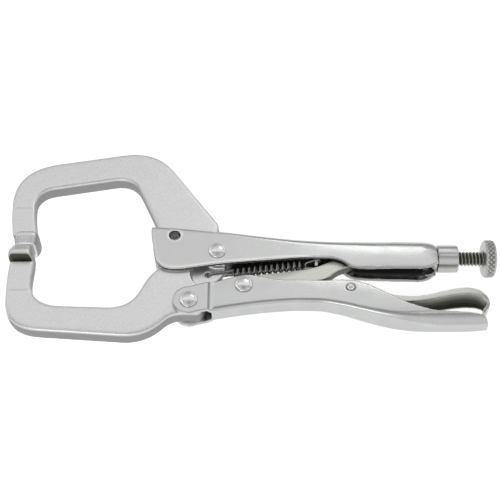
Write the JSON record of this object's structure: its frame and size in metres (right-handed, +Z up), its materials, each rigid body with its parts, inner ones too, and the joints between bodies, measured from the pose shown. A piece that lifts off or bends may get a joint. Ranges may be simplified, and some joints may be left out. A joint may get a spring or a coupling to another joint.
{
  "type": "locking c-clamp pliers",
  "caption": "Locking C-clamp pliers with deep throat jaws, oval pads, over-centre toggle handles, release lever and knurled adjusting screw.",
  "frame": {"origin": "middle of the footprint, level with the lowest point, with the tool lying on its side", "axes": "+X from the jaws to the knob along the adjusting screw, +Y from the lower jaw to the upper jaw, +Z up along the rivets"},
  "size_m": [0.2772, 0.1278, 0.0214],
  "materials": {
    "forged_steel": "satin nickel plate over a fine forged grain",
    "stamped_steel": "satin nickel plate over polished stamped sheet",
    "rivet_steel": "bright nickel plate",
    "screw_steel": "plain cut thread, slightly oily",
    "knob_steel": "satin nickel plate over diamond knurling",
    "spring_steel": "drawn spring wire, oiled",
    "lever_steel": "satin nickel plate, slightly warm grey"
  },
  "bodies": {
    "upper_handle": {"upper_handle": "stamped_steel", "screw_sleeve": "stamped_steel", "upper_jaw": "forged_steel", "upper_jaw_pad": "forged_steel", "upper_jaw_pin": "rivet_steel", "main_pivot_rivet": "rivet_steel", "opening_spring": "spring_steel"},
    "lower_jaw": {"lower_jaw": "forged_steel", "lower_jaw_pad": "forged_steel"},
    "lower_handle": {"lower_handle": "stamped_steel", "lower_jaw_rivet": "rivet_steel", "link_rivet": "rivet_steel", "release_pin": "rivet_steel"},
    "toggle_link": {"toggle_link": "lever_steel"},
    "release_lever": {"release_lever": "lever_steel"},
    "adjusting_screw": {"adjusting_screw": "screw_steel"},
    "adjusting_knob": {"adjusting_knob": "knob_steel"}
  },
  "joints": [
    {"name": "jaw_opening", "type": "hinge", "parent": "upper_handle", "child": "lower_jaw", "pos_m": [-0.01808, -0.01015, 0.0107], "axis": [0, 0, 1], "range_deg": [0, 14]},
    {"name": "handle_swing", "type": "hinge", "parent": "lower_jaw", "child": "lower_handle", "pos_m": [-0.03318, -0.04275, 0.0107], "axis": [0, 0, 1], "range_deg": [-43.83, 0]},
    {"name": "toggle_fold", "type": "hinge", "parent": "lower_handle", "child": "toggle_link", "pos_m": [-0.00318, -0.03195, 0.0107], "axis": [0, 0, 1], "range_deg": [0, 49.84]},
    {"name": "release_press", "type": "hinge", "parent": "lower_handle", "child": "release_lever", "pos_m": [0.05582, -0.03385, 0.0107], "axis": [0, 0, 1], "range_deg": [-3.5, 0]},
    {"name": "screw_feed", "type": "slide", "parent": "upper_handle", "child": "adjusting_screw", "axis": [1, 0, 0], "range_m": [0, 0.025]},
    {"name": "knob_spin", "type": "hinge", "parent": "adjusting_screw", "child": "adjusting_knob", "pos_m": [0.13542, -0.01075, 0.0107], "axis": [1, 0, 0], "range_deg": [0, 4501]}
  ],
  "couplings": [
    {"joint": "handle_swing", "follows": "jaw_opening", "ratio": -3.13},
    {"joint": "toggle_fold", "follows": "jaw_opening", "ratio": 3.559},
    {"joint": "knob_spin", "follows": "screw_feed", "rad_per_m": 3141.6}
  ]
}
